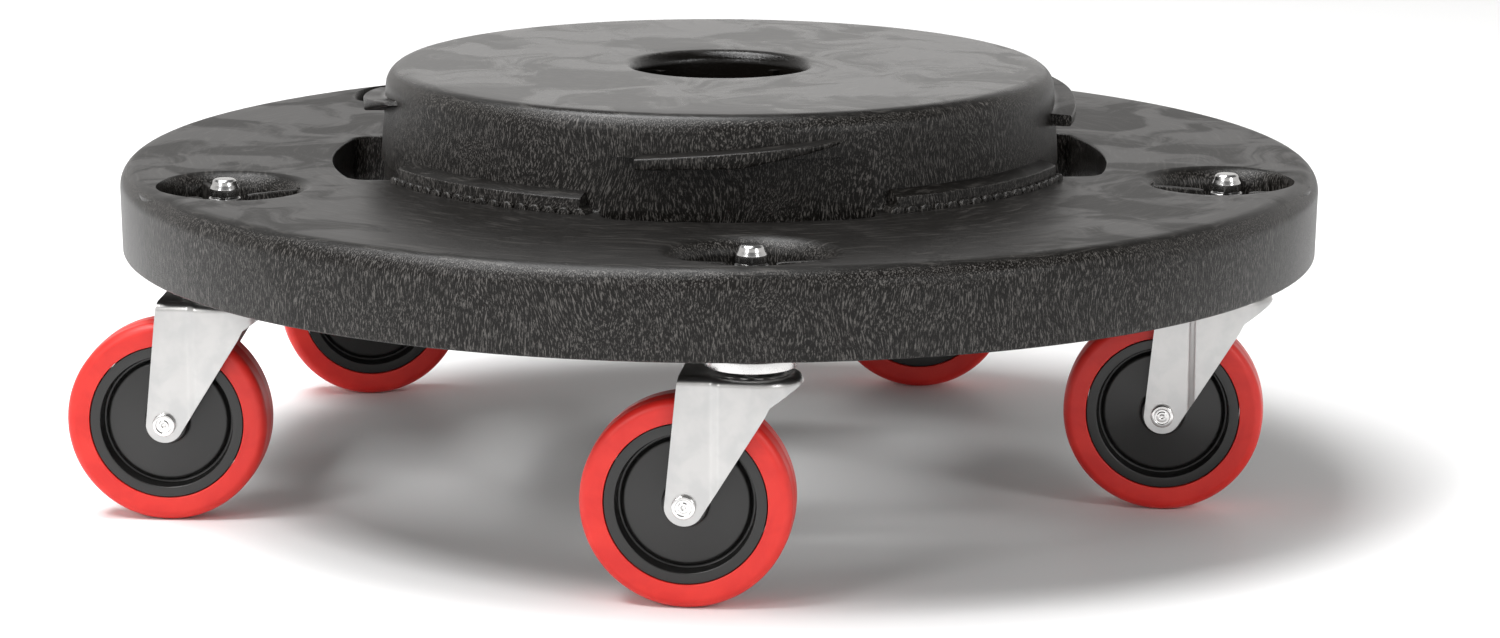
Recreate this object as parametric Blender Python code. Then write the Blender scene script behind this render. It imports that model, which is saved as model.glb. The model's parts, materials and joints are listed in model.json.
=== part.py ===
"""Round waste-container dolly: one moulded deck on five swivel casters.

Units are metres and +Z is up.  The floor is z = 0 and the origin is under the middle of the
whole dolly's box.  The deck's own axis sits a little to the +X side of it, because the side
wheels trail past the deck towards -X.
"""

import math

import bmesh
import bpy

# ---------------------------------------------------------------- driving dimensions

DECK_RADIUS = 0.23175            # 18 1/4 in across
DECK_TOP_Z = 0.1270
SKIRT_BOTTOM_Z = 0.0940
RIM_ROUND = 0.0120               # round-over between the deck's top and its skirt
SKIRT_DRAFT = 0.0008
WALL = 0.0045                    # moulding's wall thickness
DECK_STEPS = 52
DISH_STEPS = 18
BOSS_STEPS = 10

HUB_RADIUS = 0.1292              # at the start of its round-over
HUB_BASE_RADIUS = 0.1312
HUB_TOP_Z = 0.1633
HUB_ROUND = 0.0077

HOLE_RADIUS = 0.0330             # hand hole in the middle of the hub
HOLE_LIP = 0.0050
BORE_STEPS = ((0.0300, 0.1510), (0.0270, 0.1400))   # radius, height of its upper end
COLLAR_BOTTOM_Z = 0.1300
COLLAR_WALL = 0.0040

LOCKS = 4                        # twist-lock positions, on +X, +Y, -X and -Y
SLOT_HALF_LENGTH = 0.0500
SLOT_CORNER = 0.0090
SLOT_WALL = 0.0030               # box wall round each slot, under the deck
SLOT_WALL_BOTTOM_Z = 0.1080
POCKET_DISTANCE = 0.1212         # front and back: to the pocket's flat back, from the deck's axis
POCKET_TOP_Z = 0.1476
POCKET_SLOT_RADIUS = 0.1425      # front and back: the slot's outer edge
SIDE_SLOT_RADII = (0.1303, 0.1500)   # left and right: the slot's inner and outer edges
SIDE_SLOT_TOP_Z = 0.1282         # how high the left and right slots cut into the hub's foot

LOCK_RIB_START = math.radians(-16.2)
LOCK_RIB_END = math.radians(15.9)
LOCK_RIB_RADIUS = 0.1380
LOCK_RIB_ROOT = 0.0008           # how far it is sunk into the wall behind it
LOCK_RIB_TIP_RADIUS = 0.1335
LOCK_RIB_TOP_Z = (0.1485, 0.1542)          # at its square end, at its pointed tip
LOCK_RIB_BOTTOM_Z = (0.1443, 0.1454, 0.1530)   # at its square end, halfway, at its tip

LEDGE_HALF_ANGLE = math.radians(20.0)
LEDGE_RADIUS = 0.1372
LEDGE_TOP_Z = 0.1349
LEDGE_EDGE_Z = 0.1326

CASTERS = 5
CASTER_CIRCLE = 0.1987           # radius of the circle that the stems stand on
CASTER_FIRST = math.radians(-90.0)
# The way each wheel trails from its stem, from front round to the left, seen from above.
CASTER_TRAIL_DEG = (170.5, 170.0, 172.3, 186.4, 173.0)

DISH_FLOOR_Z = 0.1135
DISH_FLOOR_RADIUS = 0.0245
DISH_SHOULDER_Z = 0.1240         # where the dish's wall starts to flare
DISH_SHOULDER_RADII = (0.0253, 0.0275)   # towards the rim, and elsewhere
DISH_LIP_RADII = (0.0257, 0.0323)        # at the deck's top: towards the rim, and elsewhere
DISH_CUP_RADIUS = 0.0318
DISH_CUP_BOTTOM_Z = 0.1090
DISH_RIB_TOP_Z = 0.1237
BOSS_RADIUS = 0.0095
BOSS_TOP_Z = 0.1195
BOSS_FOOT_RADIUS = 0.0120
BOSS_BOTTOM_Z = 0.0928
RIB_THICKNESS = 0.0030
DECK_RIB_BOTTOM_Z = 0.0985       # ribs under the deck
HUB_RIB_BOTTOM_Z = 0.1360        # ribs inside the hub

GAP = 0.0003                     # between pieces that touch

WHEEL_RADIUS = 0.0381            # 3 in across
WHEEL_WIDTH = 0.0206             # 13/16 in
TREAD_CORNER = 0.0035
RIM_RADIUS = 0.0291              # where the tread meets the wheel's hub
RIM_RING_INNER = 0.0251
WEB_RADIUS = 0.0222
WEB_HALF = 0.0052                # half thickness of the wheel's web
WHEEL_BOSS_RADIUS = 0.0080
WHEEL_BOSS_HALF = 0.0113
CASTER_TRAIL = 0.0219            # from the stem's axis to the axle

FORK_TOP_Z = 0.0848
FORK_SHEET = 0.0020
FORK_HALF_WIDTH = 0.0140         # to the outer face, at the axle
FORK_WIDE_HALF = 0.0156          # to the outer face, beside the stem
FORK_STEP_U = (0.0130, 0.0095)   # where each leg steps outwards, along the trail
FORK_SHOULDER_U = -0.0040        # where the crown's rounded front starts
FORK_FRONT_U = -0.0187
FORK_BACK_U = 0.0247
FORK_BEND = 0.0035
FORK_EYE_RADIUS = 0.0070
# The fork's front edge seen from the side, from a leg up to the crown: along the trail, height.
FORK_FRONT_EDGE = ((-0.0066, 0.0712), (-0.0082, 0.0745), (-0.0154, 0.0794), (-0.0197, 0.0820))
FORK_BACK_EDGE_Z = 0.0816

RACE_RADIUS = 0.01625
RACE_BOTTOM_Z = 0.0866
RACE_SHEET = 0.0016
BALL_CIRCLE = 0.0112
BALL_RADIUS = 0.0022

STEM_RADIUS = 0.0052
STEM_TOP_Z = 0.1297
STEM_CROWN = 0.0018              # rounding of its top edge
STEM_NECK_RADIUS = 0.0040
STEM_FOOT_RADIUS = 0.0078
STEM_FOOT_Z = 0.0792
GROOVE_RADIUS = 0.0042
GROOVE_Z = (0.1210, 0.1230)
RING_RADII = (0.0045, 0.0060)    # split retaining ring
RING_SPLIT = math.radians(24.0)

SLEEVE_RADII = (0.0032, 0.0042)
AXLE_RADIUS = 0.0029
AXLE_HEAD_RADIUS = 0.0044
AXLE_HEAD = 0.0016

# The +X end of the deck against the -X end of the last caster's wheel sets the deck's place.
LAST_STEM = CASTER_FIRST + math.tau * (CASTERS - 1) / CASTERS
LAST_TRAIL = math.radians(CASTER_TRAIL_DEG[-1])
WHEEL_REACH = CASTER_CIRCLE * math.cos(LAST_STEM) + (CASTER_TRAIL + WHEEL_RADIUS) * math.cos(LAST_TRAIL)
DECK_X = -(DECK_RADIUS + WHEEL_REACH) / 2


# ---------------------------------------------------------------- helpers

def clear_scene():
    for old in list(bpy.data.objects):
        bpy.data.objects.remove(old, do_unlink=True)


def material(name, colour, roughness, metallic=0.0):
    mat = bpy.data.materials.new(name)
    mat.use_nodes = True
    shader = mat.node_tree.nodes["Principled BSDF"]
    shader.inputs["Base Color"].default_value = (*colour, 1.0)
    shader.inputs["Roughness"].default_value = roughness
    shader.inputs["Metallic"].default_value = metallic
    return mat


def arc(centre, radius, start, end, steps):
    """Points of a round stretch, both ends included; angles in degrees."""
    points = []
    for i in range(steps + 1):
        angle = math.radians(start + (end - start) * i / steps)
        points.append((centre[0] + radius * math.cos(angle), centre[1] + radius * math.sin(angle)))
    return points


def turned(profile, steps, name="turned"):
    """A solid turned about Z from a closed outline of (radius, height) points."""
    bm = bmesh.new()
    verts = [bm.verts.new((r, 0.0, z)) for r, z in profile]
    edges = [bm.edges.new((a, b)) for a, b in zip(verts, verts[1:] + verts[:1])
             if a.co.x > 0 or b.co.x > 0]
    bmesh.ops.spin(bm, geom=verts + edges, cent=(0, 0, 0), axis=(0, 0, 1),
                   angle=math.tau, steps=steps, use_merge=True)
    return closed_mesh(bm, name)


def prism(outline, low, high, name="prism"):
    """A solid with a flat outline of (x, y) points and its ends at two heights."""
    bm = bmesh.new()
    face = bm.faces.new([bm.verts.new((x, y, low)) for x, y in outline])
    extruded = bmesh.ops.extrude_face_region(bm, geom=[face])["geom"]
    top = [v for v in extruded if isinstance(v, bmesh.types.BMVert)]
    bmesh.ops.translate(bm, vec=(0, 0, high - low), verts=top)
    return closed_mesh(bm, name)


def block(low, high, name="block"):
    """A box between two corners."""
    outline = ((low[0], low[1]), (high[0], low[1]), (high[0], high[1]), (low[0], high[1]))
    return prism(outline, low[2], high[2], name)


def swept(sections, name="swept"):
    """A solid through rows of points that all have the same count."""
    bm = bmesh.new()
    rows = [[bm.verts.new(point) for point in section] for section in sections]
    count = len(rows[0])
    for near, far in zip(rows, rows[1:]):
        for i in range(count):
            j = (i + 1) % count
            bm.faces.new((near[i], near[j], far[j], far[i]))
    bm.faces.new(rows[0])
    bm.faces.new(rows[-1])
    bmesh.ops.connect_verts_nonplanar(bm, angle_limit=0.001, faces=bm.faces)
    return closed_mesh(bm, name)


def closed_mesh(bm, name):
    bmesh.ops.remove_doubles(bm, verts=bm.verts, dist=1e-6)
    bmesh.ops.recalc_face_normals(bm, faces=bm.faces)
    mesh = bpy.data.meshes.new(name)
    bm.to_mesh(mesh)
    bm.free()
    return mesh


def moved(mesh, angle=0.0, offset=(0.0, 0.0, 0.0)):
    """A copy of a mesh, turned about Z and then shifted."""
    copy = mesh.copy()
    bm = bmesh.new()
    bm.from_mesh(copy)
    cos, sin = math.cos(angle), math.sin(angle)
    for v in bm.verts:
        x, y, z = v.co
        v.co = (cos * x - sin * y + offset[0], sin * x + cos * y + offset[1], z + offset[2])
    bm.to_mesh(copy)
    bm.free()
    return copy


def combined(body, others, operation):
    """The mesh of a body with each other mesh added, cut away or kept in common."""
    host = bpy.data.objects.new("host", body)
    bpy.context.collection.objects.link(host)
    tools = []
    for other in others:
        tool = bpy.data.objects.new("tool", other)
        tool.hide_render = True
        tool.display_type = "WIRE"
        bpy.context.collection.objects.link(tool)
        tools.append(tool)
        step = host.modifiers.new("step", "BOOLEAN")
        step.operation = operation
        step.solver = "EXACT"
        step.object = tool
    graph = bpy.context.evaluated_depsgraph_get()
    result = bpy.data.meshes.new_from_object(host.evaluated_get(graph))
    for tool in tools:
        bpy.data.objects.remove(tool, do_unlink=True)
    bpy.data.objects.remove(host, do_unlink=True)
    bm = bmesh.new()
    bm.from_mesh(result)
    bmesh.ops.remove_doubles(bm, verts=bm.verts, dist=2e-6)
    bm.to_mesh(result)
    bm.free()
    return result


def place(name, mesh, mat, parent, location=(0.0, 0.0, 0.0), rotation=(0.0, 0.0, 0.0)):
    obj = bpy.data.objects.new(name, mesh)
    mesh.name = name
    if not mesh.materials:
        mesh.materials.append(mat)
    mesh.shade_smooth()
    mesh.set_sharp_from_angle(angle=math.radians(32.0))
    obj.location = location
    obj.rotation_euler = rotation
    obj.parent = parent
    bpy.context.collection.objects.link(obj)
    return obj


# ---------------------------------------------------------------- deck

def deck_shell():
    """The moulding's wall: stepped bore, raised hub, deck and skirt."""
    profile = []
    low = COLLAR_BOTTOM_Z
    for radius, top in reversed(BORE_STEPS):
        profile += [(radius, low), (radius, top)]
        low = top
    lip_z = HUB_TOP_Z - HOLE_LIP
    profile.append((HOLE_RADIUS, low))
    profile += arc((HOLE_RADIUS + HOLE_LIP, lip_z), HOLE_LIP, 180, 90, 2)
    profile += arc((HUB_RADIUS - HUB_ROUND, HUB_TOP_Z - HUB_ROUND), HUB_ROUND, 90, 0, 3)
    profile.append((HUB_BASE_RADIUS, DECK_TOP_Z))
    profile += arc((DECK_RADIUS - RIM_ROUND, DECK_TOP_Z - RIM_ROUND), RIM_ROUND, 90, 0, 4)
    outer_foot = DECK_RADIUS - SKIRT_DRAFT
    inner_foot = outer_foot - WALL
    profile += [(outer_foot, SKIRT_BOTTOM_Z), (inner_foot, SKIRT_BOTTOM_Z)]
    profile += [(inner_foot, DECK_TOP_Z - RIM_ROUND), (DECK_RADIUS - RIM_ROUND, DECK_TOP_Z - WALL)]
    profile.append((HUB_BASE_RADIUS - WALL, DECK_TOP_Z - WALL))
    profile.append((HUB_RADIUS - WALL, HUB_TOP_Z - HUB_ROUND))
    profile.append((HUB_RADIUS - HUB_ROUND, HUB_TOP_Z - WALL))
    collar = BORE_STEPS[-1][0] + COLLAR_WALL
    profile += [(HOLE_RADIUS + COLLAR_WALL, HUB_TOP_Z - WALL), (collar, COLLAR_BOTTOM_Z)]
    return turned(profile, DECK_STEPS)


def stem_place(index):
    """The angle and the place of a caster's stem about the deck's axis."""
    angle = CASTER_FIRST + math.tau * index / CASTERS
    return angle, (CASTER_CIRCLE * math.cos(angle), CASTER_CIRCLE * math.sin(angle))


def underside_ribs():
    """Stiffening ribs under the deck and inside the hub."""
    outer = block((HUB_BASE_RADIUS - WALL / 2, -RIB_THICKNESS / 2, DECK_RIB_BOTTOM_Z),
                  (DECK_RADIUS - WALL / 2 - SKIRT_DRAFT, RIB_THICKNESS / 2, DECK_TOP_Z - WALL / 2 - 0.0006))
    inner = block((HOLE_RADIUS + COLLAR_WALL / 2, -RIB_THICKNESS / 2, HUB_RIB_BOTTOM_Z),
                  (HUB_RADIUS - WALL / 2, RIB_THICKNESS / 2, HUB_TOP_Z - HUB_ROUND + 0.0012))
    ribs = []
    for i in range(CASTERS):
        angle = stem_place(i)[0]
        ribs += [moved(outer, angle), moved(outer, angle + math.pi / CASTERS)]
    for i in range(LOCKS):
        ribs.append(moved(inner, math.tau * (i + 0.5) / LOCKS))
    return ribs


def stem_cups():
    """The solid under each stem's dish, with the boss that stands on the caster."""
    cup = turned([(0, DISH_CUP_BOTTOM_Z), (DISH_CUP_RADIUS - 0.002, DISH_CUP_BOTTOM_Z),
                  (DISH_CUP_RADIUS, DECK_TOP_Z - WALL / 2), (0, DECK_TOP_Z - WALL / 2)], DISH_STEPS)
    foot = turned([(0, BOSS_BOTTOM_Z), (BOSS_FOOT_RADIUS, BOSS_BOTTOM_Z),
                   (BOSS_FOOT_RADIUS + 0.0012, DISH_CUP_BOTTOM_Z + 0.002),
                   (0, DISH_CUP_BOTTOM_Z + 0.002)], BOSS_STEPS)
    solids = []
    for i in range(CASTERS):
        angle, (x, y) = stem_place(i)
        solids += [moved(cup, angle, (x, y, 0)), moved(foot, angle, (x, y, 0))]
    return solids


def dish_cutters():
    """The round dish that each stem stands in: steep on the rim's side, flared elsewhere."""
    def ring(radii, z):
        points = []
        for i in range(DISH_STEPS):
            angle = math.tau * i / DISH_STEPS
            share = min(1.0, 1.0 - math.cos(angle))
            radius = radii[0] + (radii[1] - radii[0]) * share
            points.append((radius * math.cos(angle), radius * math.sin(angle), z))
        return points

    dish = swept([ring((DISH_FLOOR_RADIUS, DISH_FLOOR_RADIUS), DISH_FLOOR_Z),
                  ring(DISH_SHOULDER_RADII, DISH_SHOULDER_Z),
                  ring(DISH_LIP_RADII, DECK_TOP_Z),
                  ring(DISH_LIP_RADII, DECK_TOP_Z + 0.0010)])
    cutters = []
    for i in range(CASTERS):
        angle, (x, y) = stem_place(i)
        cutters.append(moved(dish, angle, (x, y, 0)))
    return cutters


def dish_bosses():
    """Each dish's middle boss and its cross of ribs."""
    rimward, reach = (radius + 0.0009 for radius in DISH_SHOULDER_RADII)
    along = block((-reach, -RIB_THICKNESS / 2, DISH_FLOOR_Z - 0.0010),
                  (rimward, RIB_THICKNESS / 2, DISH_RIB_TOP_Z - 0.0006))
    across = block((-RIB_THICKNESS / 2, -reach, DISH_FLOOR_Z - 0.0014),
                   (RIB_THICKNESS / 2, reach, DISH_RIB_TOP_Z - 0.0002))
    boss = turned([(0, DISH_FLOOR_Z - 0.0020), (BOSS_RADIUS, DISH_FLOOR_Z - 0.0020),
                   (BOSS_RADIUS - 0.0004, BOSS_TOP_Z), (0, BOSS_TOP_Z)], BOSS_STEPS)
    clear = turned([(0, BOSS_TOP_Z), (BOSS_RADIUS + 0.0004, BOSS_TOP_Z),
                    (BOSS_RADIUS + 0.0004, DECK_TOP_Z), (0, DECK_TOP_Z)], BOSS_STEPS)
    cross = combined(along, [across], "UNION")
    cross = combined(cross, [clear], "DIFFERENCE")
    cross = combined(cross, [boss], "UNION")
    solids = []
    for i in range(CASTERS):
        angle, (x, y) = stem_place(i)
        solids.append(moved(cross, angle, (x, y, 0)))
    return solids


def stem_bores():
    radius = STEM_RADIUS + GAP
    bore = turned([(0, BOSS_BOTTOM_Z - 0.002), (radius, BOSS_BOTTOM_Z - 0.002),
                   (radius, BOSS_TOP_Z + 0.002), (0, BOSS_TOP_Z + 0.002)], BOSS_STEPS)
    cutters = []
    for i in range(CASTERS):
        angle, (x, y) = stem_place(i)
        cutters.append(moved(bore, angle + math.pi / BOSS_STEPS, (x, y, 0)))
    return cutters


def slot_outline(inner, outer, half, flat, grow=0.0):
    """A lock's slot seen from above (at +X), with a flat or a round inner side."""
    inner -= grow
    outer += grow
    half += grow
    corner = SLOT_CORNER + grow
    middle = outer - corner
    reach = math.asin((half - corner) / middle)
    centre = (middle * math.cos(reach), middle * math.sin(reach))
    turn = math.degrees(reach)
    points = arc(centre, corner, 90, turn, 3)
    points += arc((0, 0), outer, turn, -turn, 5)[1:-1]
    points += arc((centre[0], -centre[1]), corner, -turn, -90, 3)
    if flat:
        return points + [(inner, -half), (inner, half)]
    side = math.degrees(math.asin(half / inner))
    return points + arc((0, 0), inner, -side, side, 7)


def pocket_outline(grow=0.0):
    """The front and back locks' slot."""
    return slot_outline(POCKET_DISTANCE, POCKET_SLOT_RADIUS, SLOT_HALF_LENGTH, True, grow)


def side_outline(grow=0.0):
    """The left and right locks' slot."""
    return slot_outline(*SIDE_SLOT_RADII, SLOT_HALF_LENGTH, False, grow)


def slot_boxes():
    """Walls round each slot under the deck, and the backs of the front and back pockets."""
    top = DECK_TOP_Z - WALL / 2 + 0.0004
    side_box = prism(side_outline(SLOT_WALL), SLOT_WALL_BOTTOM_Z, top)
    pocket_box = prism(pocket_outline(SLOT_WALL), SLOT_WALL_BOTTOM_Z, top)
    outer = HUB_BASE_RADIUS - WALL + 0.0005
    side = math.degrees(math.acos((POCKET_DISTANCE - WALL) / outer))
    back = prism(arc((0, 0), outer, side, -side, 9), SLOT_WALL_BOTTOM_Z - 0.0004, POCKET_TOP_Z + WALL)
    return at_pockets(pocket_box) + at_pockets(back) + at_sides(side_box)


def slot_cutters():
    """The slots through the deck, which run up the hub as pockets at the front and back."""
    pocket = prism(pocket_outline(), SKIRT_BOTTOM_Z, POCKET_TOP_Z)
    side = prism(side_outline(), SKIRT_BOTTOM_Z, SIDE_SLOT_TOP_Z)
    return at_pockets(pocket) + at_sides(side)


def lock_rib(flat_back):
    """The ramped shelf that a container's foot turns under (at +X)."""
    steps = 8
    sections = []
    for i in range(steps + 1):
        share = i / steps
        angle = LOCK_RIB_START + (LOCK_RIB_END - LOCK_RIB_START) * share
        inner = HUB_RADIUS - LOCK_RIB_ROOT
        if flat_back:
            inner = (POCKET_DISTANCE - LOCK_RIB_ROOT) / math.cos(angle)
        late = max(0.0, share - 0.5) * 2
        outer = LOCK_RIB_RADIUS + (LOCK_RIB_TIP_RADIUS - LOCK_RIB_RADIUS) * late ** 3
        top = LOCK_RIB_TOP_Z[0] + (LOCK_RIB_TOP_Z[1] - LOCK_RIB_TOP_Z[0]) * share
        start, middle, end = LOCK_RIB_BOTTOM_Z
        bottom = start + (middle - start) * min(1.0, share * 2) + (end - middle) * late
        row = ((inner, bottom), (outer, bottom), (outer, top), (inner, top))
        cos, sin = math.cos(angle), math.sin(angle)
        sections.append([(r * cos, r * sin, z) for r, z in row])
    return swept(sections)


def ledge():
    """The low ledge round the hub's foot between two slots (at +X)."""
    steps = 6
    inner = HUB_BASE_RADIUS - WALL / 2
    foot = DECK_TOP_Z - WALL / 2
    row = ((inner, foot), (LEDGE_RADIUS + 0.0004, foot), (LEDGE_RADIUS, LEDGE_EDGE_Z), (inner, LEDGE_TOP_Z))
    sections = []
    for i in range(steps + 1):
        angle = LEDGE_HALF_ANGLE * (2 * i / steps - 1)
        cos, sin = math.cos(angle), math.sin(angle)
        sections.append([(r * cos, r * sin, z) for r, z in row])
    return swept(sections)


def at_pockets(mesh):
    """A copy of a mesh at the back lock and one at the front lock."""
    return [moved(mesh, math.pi / 2), moved(mesh, -math.pi / 2)]


def at_sides(mesh):
    """A copy of a mesh at the right lock and one at the left lock."""
    return [moved(mesh, 0.0), moved(mesh, math.pi)]


def make_deck(parent, mat):
    mesh = deck_shell()
    mesh = combined(mesh, underside_ribs(), "UNION")
    mesh = combined(mesh, stem_cups(), "UNION")
    mesh = combined(mesh, slot_boxes(), "UNION")
    mesh = combined(mesh, slot_cutters(), "DIFFERENCE")
    mesh = combined(mesh, at_pockets(lock_rib(True)) + at_sides(lock_rib(False)), "UNION")
    mesh = combined(mesh, [moved(ledge(), math.tau * (i + 0.5) / LOCKS) for i in range(LOCKS)], "UNION")
    mesh = combined(mesh, dish_cutters(), "DIFFERENCE")
    mesh = combined(mesh, dish_bosses(), "UNION")
    mesh = combined(mesh, stem_bores(), "DIFFERENCE")
    return place("deck", mesh, mat, parent)


# ---------------------------------------------------------------- one caster
# A caster is built with its stem on the Z axis and its wheel trailing towards +X.

def stem_mesh():
    """Riveted at its foot under the fork, and grooved near its top for the retaining ring."""
    foot_top = FORK_TOP_Z - FORK_SHEET - GAP
    return turned([
        (0, STEM_FOOT_Z), (STEM_FOOT_RADIUS - 0.0010, STEM_FOOT_Z), (STEM_FOOT_RADIUS, foot_top),
        (STEM_NECK_RADIUS, foot_top),
        (STEM_NECK_RADIUS, RACE_BOTTOM_Z), (STEM_RADIUS, RACE_BOTTOM_Z),
        (STEM_RADIUS, GROOVE_Z[0]), (GROOVE_RADIUS, GROOVE_Z[0]), (GROOVE_RADIUS, GROOVE_Z[1]),
        (STEM_RADIUS, GROOVE_Z[1]), (STEM_RADIUS, STEM_TOP_Z - STEM_CROWN),
        (STEM_RADIUS - STEM_CROWN / 2, STEM_TOP_Z - STEM_CROWN / 4),
        (STEM_RADIUS - STEM_CROWN, STEM_TOP_Z), (0, STEM_TOP_Z)], 10)


def retaining_ring_mesh():
    """Flat spring ring in the stem's groove, with its split."""
    inner, outer = RING_RADII
    start = RING_SPLIT / 2
    low = GROOVE_Z[0] + GAP
    high = GROOVE_Z[1] - GAP
    row = ((inner, low), (outer, low), (outer, high), (inner, high))
    steps = 10
    sections = []
    for i in range(steps + 1):
        angle = start + (math.tau - RING_SPLIT) * i / steps
        cos, sin = math.cos(angle), math.sin(angle)
        sections.append([(r * cos, r * sin, z) for r, z in row])
    return swept(sections)


def upper_race_mesh():
    """Pressed cap between the deck's boss and the balls."""
    top = BOSS_BOTTOM_Z - GAP
    bore = STEM_RADIUS + GAP
    under = top - RACE_SHEET
    return turned([
        (bore, under), (bore, top), (RACE_RADIUS - 0.0016, top), (RACE_RADIUS, top - 0.0020),
        (RACE_RADIUS, RACE_BOTTOM_Z),
        (RACE_RADIUS - RACE_SHEET, RACE_BOTTOM_Z), (RACE_RADIUS - RACE_SHEET, under)], 16)


def ball_ring_mesh():
    """The swivel's balls and their cage, as one ring."""
    height = (FORK_TOP_Z + BOSS_BOTTOM_Z - GAP - RACE_SHEET) / 2
    profile = arc((BALL_CIRCLE, height), BALL_RADIUS, 30, 330, 5)
    return turned(profile, 12)


def fork_plan(inset, back):
    """The crown's outline seen from above: straight sides, a step and a rounded front."""
    wide = FORK_WIDE_HALF - inset
    narrow = FORK_HALF_WIDTH - inset
    length = FORK_SHOULDER_U - FORK_FRONT_U - inset
    side = [(back, narrow), (FORK_STEP_U[0], narrow), (FORK_STEP_U[1], wide)]
    for i in range(5):
        angle = math.radians(90 * i / 4)
        side.append((FORK_SHOULDER_U - length * math.sin(angle), wide * math.cos(angle)))
    return side + [(x, -y) for x, y in reversed(side[:-1])]


def loaf(plan, low, high, bend):
    """An outline drawn up to a height, with its top edge rounded."""
    middle = sum(x for x, y in plan) / len(plan)
    widest = max(y for x, y in plan)
    sections = [[(x, y, low) for x, y in plan]]
    for i in range(3):
        angle = math.radians(90 * i / 2)
        pull = bend * (1 - math.cos(angle))
        z = high - bend * (1 - math.sin(angle))
        shrink_y = (widest - pull) / widest
        shrink_x = 1 - pull / (middle - FORK_FRONT_U)
        sections.append([(middle + (x - middle) * (shrink_x if x < middle else 1), y * shrink_y, z)
                         for x, y in plan])
    return swept(sections)


def fork_side():
    """The fork's outline seen from the side, as (along the trail, height)."""
    axle = (CASTER_TRAIL, WHEEL_RADIUS)
    above = FORK_TOP_Z + 0.0020
    outline = [(FORK_FRONT_EDGE[-1][0], above), (FORK_BACK_U - 0.0010, above)]
    outline.append((FORK_BACK_U, FORK_BACK_EDGE_Z))
    outline += arc(axle, FORK_EYE_RADIUS, -4, -148, 6)
    return outline + list(FORK_FRONT_EDGE)


def fork_mesh():
    """Pressed steel fork: a rounded crown with two tapering legs."""
    outer = loaf(fork_plan(0.0, 0.0320), 0.0250, FORK_TOP_Z, FORK_BEND)
    inner = loaf(fork_plan(FORK_SHEET, 0.0400), 0.0200, FORK_TOP_Z - FORK_SHEET, FORK_BEND - FORK_SHEET)
    shell = combined(outer, [inner], "DIFFERENCE")
    side = prism(fork_side(), -0.030, 0.030)
    upright = side.copy()
    bm = bmesh.new()
    bm.from_mesh(upright)
    for v in bm.verts:
        x, y, z = v.co
        v.co = (x, -z, y)
    bmesh.ops.recalc_face_normals(bm, faces=bm.faces)
    bm.to_mesh(upright)
    bm.free()
    shell = combined(shell, [upright], "INTERSECT")
    stem_hole = turned([(0, 0.070), (STEM_NECK_RADIUS + GAP, 0.070),
                        (STEM_NECK_RADIUS + GAP, 0.095), (0, 0.095)], 16)
    axle_hole = on_axle(turned([(0, -0.030), (AXLE_RADIUS + GAP, -0.030),
                                (AXLE_RADIUS + GAP, 0.030), (0, 0.030)], 12))
    return combined(shell, [stem_hole, axle_hole], "DIFFERENCE")


def laid_over(mesh):
    """A turned mesh with its axis laid along Y."""
    copy = mesh.copy()
    bm = bmesh.new()
    bm.from_mesh(copy)
    for v in bm.verts:
        x, y, z = v.co
        v.co = (x, z, -y)
    bm.to_mesh(copy)
    bm.free()
    return copy


def on_axle(mesh):
    return moved(laid_over(mesh), 0.0, (CASTER_TRAIL, 0.0, WHEEL_RADIUS))


def axle_rivet_mesh():
    """Rivet through both legs, headed at each end."""
    outside = FORK_HALF_WIDTH + GAP
    end = outside + AXLE_HEAD
    crown = AXLE_HEAD_RADIUS - 0.0012
    return laid_over(turned([
        (0, -end), (crown, -end), (AXLE_HEAD_RADIUS, -outside), (AXLE_RADIUS, -outside),
        (AXLE_RADIUS, outside), (AXLE_HEAD_RADIUS, outside), (crown, end), (0, end)], 10))


def axle_sleeve_mesh():
    """Spacer tube between the legs, that the wheel turns on."""
    inner, outer = SLEEVE_RADII
    half = FORK_HALF_WIDTH - FORK_SHEET - GAP
    return laid_over(turned([(inner, -half), (outer, -half), (outer, half), (inner, half)], 10))


def wheel_hub_mesh():
    """Moulded wheel centre with a raised rim, a sunk web and a long boss."""
    bore = SLEEVE_RADII[1] + GAP
    rim = WHEEL_WIDTH / 2 - 0.0006
    half = [(bore, WHEEL_BOSS_HALF), (WHEEL_BOSS_RADIUS, WHEEL_BOSS_HALF), (WHEEL_BOSS_RADIUS, WEB_HALF),
            (WEB_RADIUS, WEB_HALF), (RIM_RING_INNER, rim),
            (RIM_RADIUS - GAP / 2, rim)]
    return laid_over(turned(half + [(r, -y) for r, y in reversed(half)], 18))


def wheel_tread_mesh():
    """Cast tread with rounded shoulders."""
    half_width = WHEEL_WIDTH / 2
    inner = RIM_RADIUS + GAP / 2
    corner = (WHEEL_RADIUS - TREAD_CORNER, half_width - TREAD_CORNER)
    half = [(inner, half_width)] + arc(corner, TREAD_CORNER, 90, 0, 2)
    return laid_over(turned(half + [(r, -y) for r, y in reversed(half)], 32))


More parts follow.
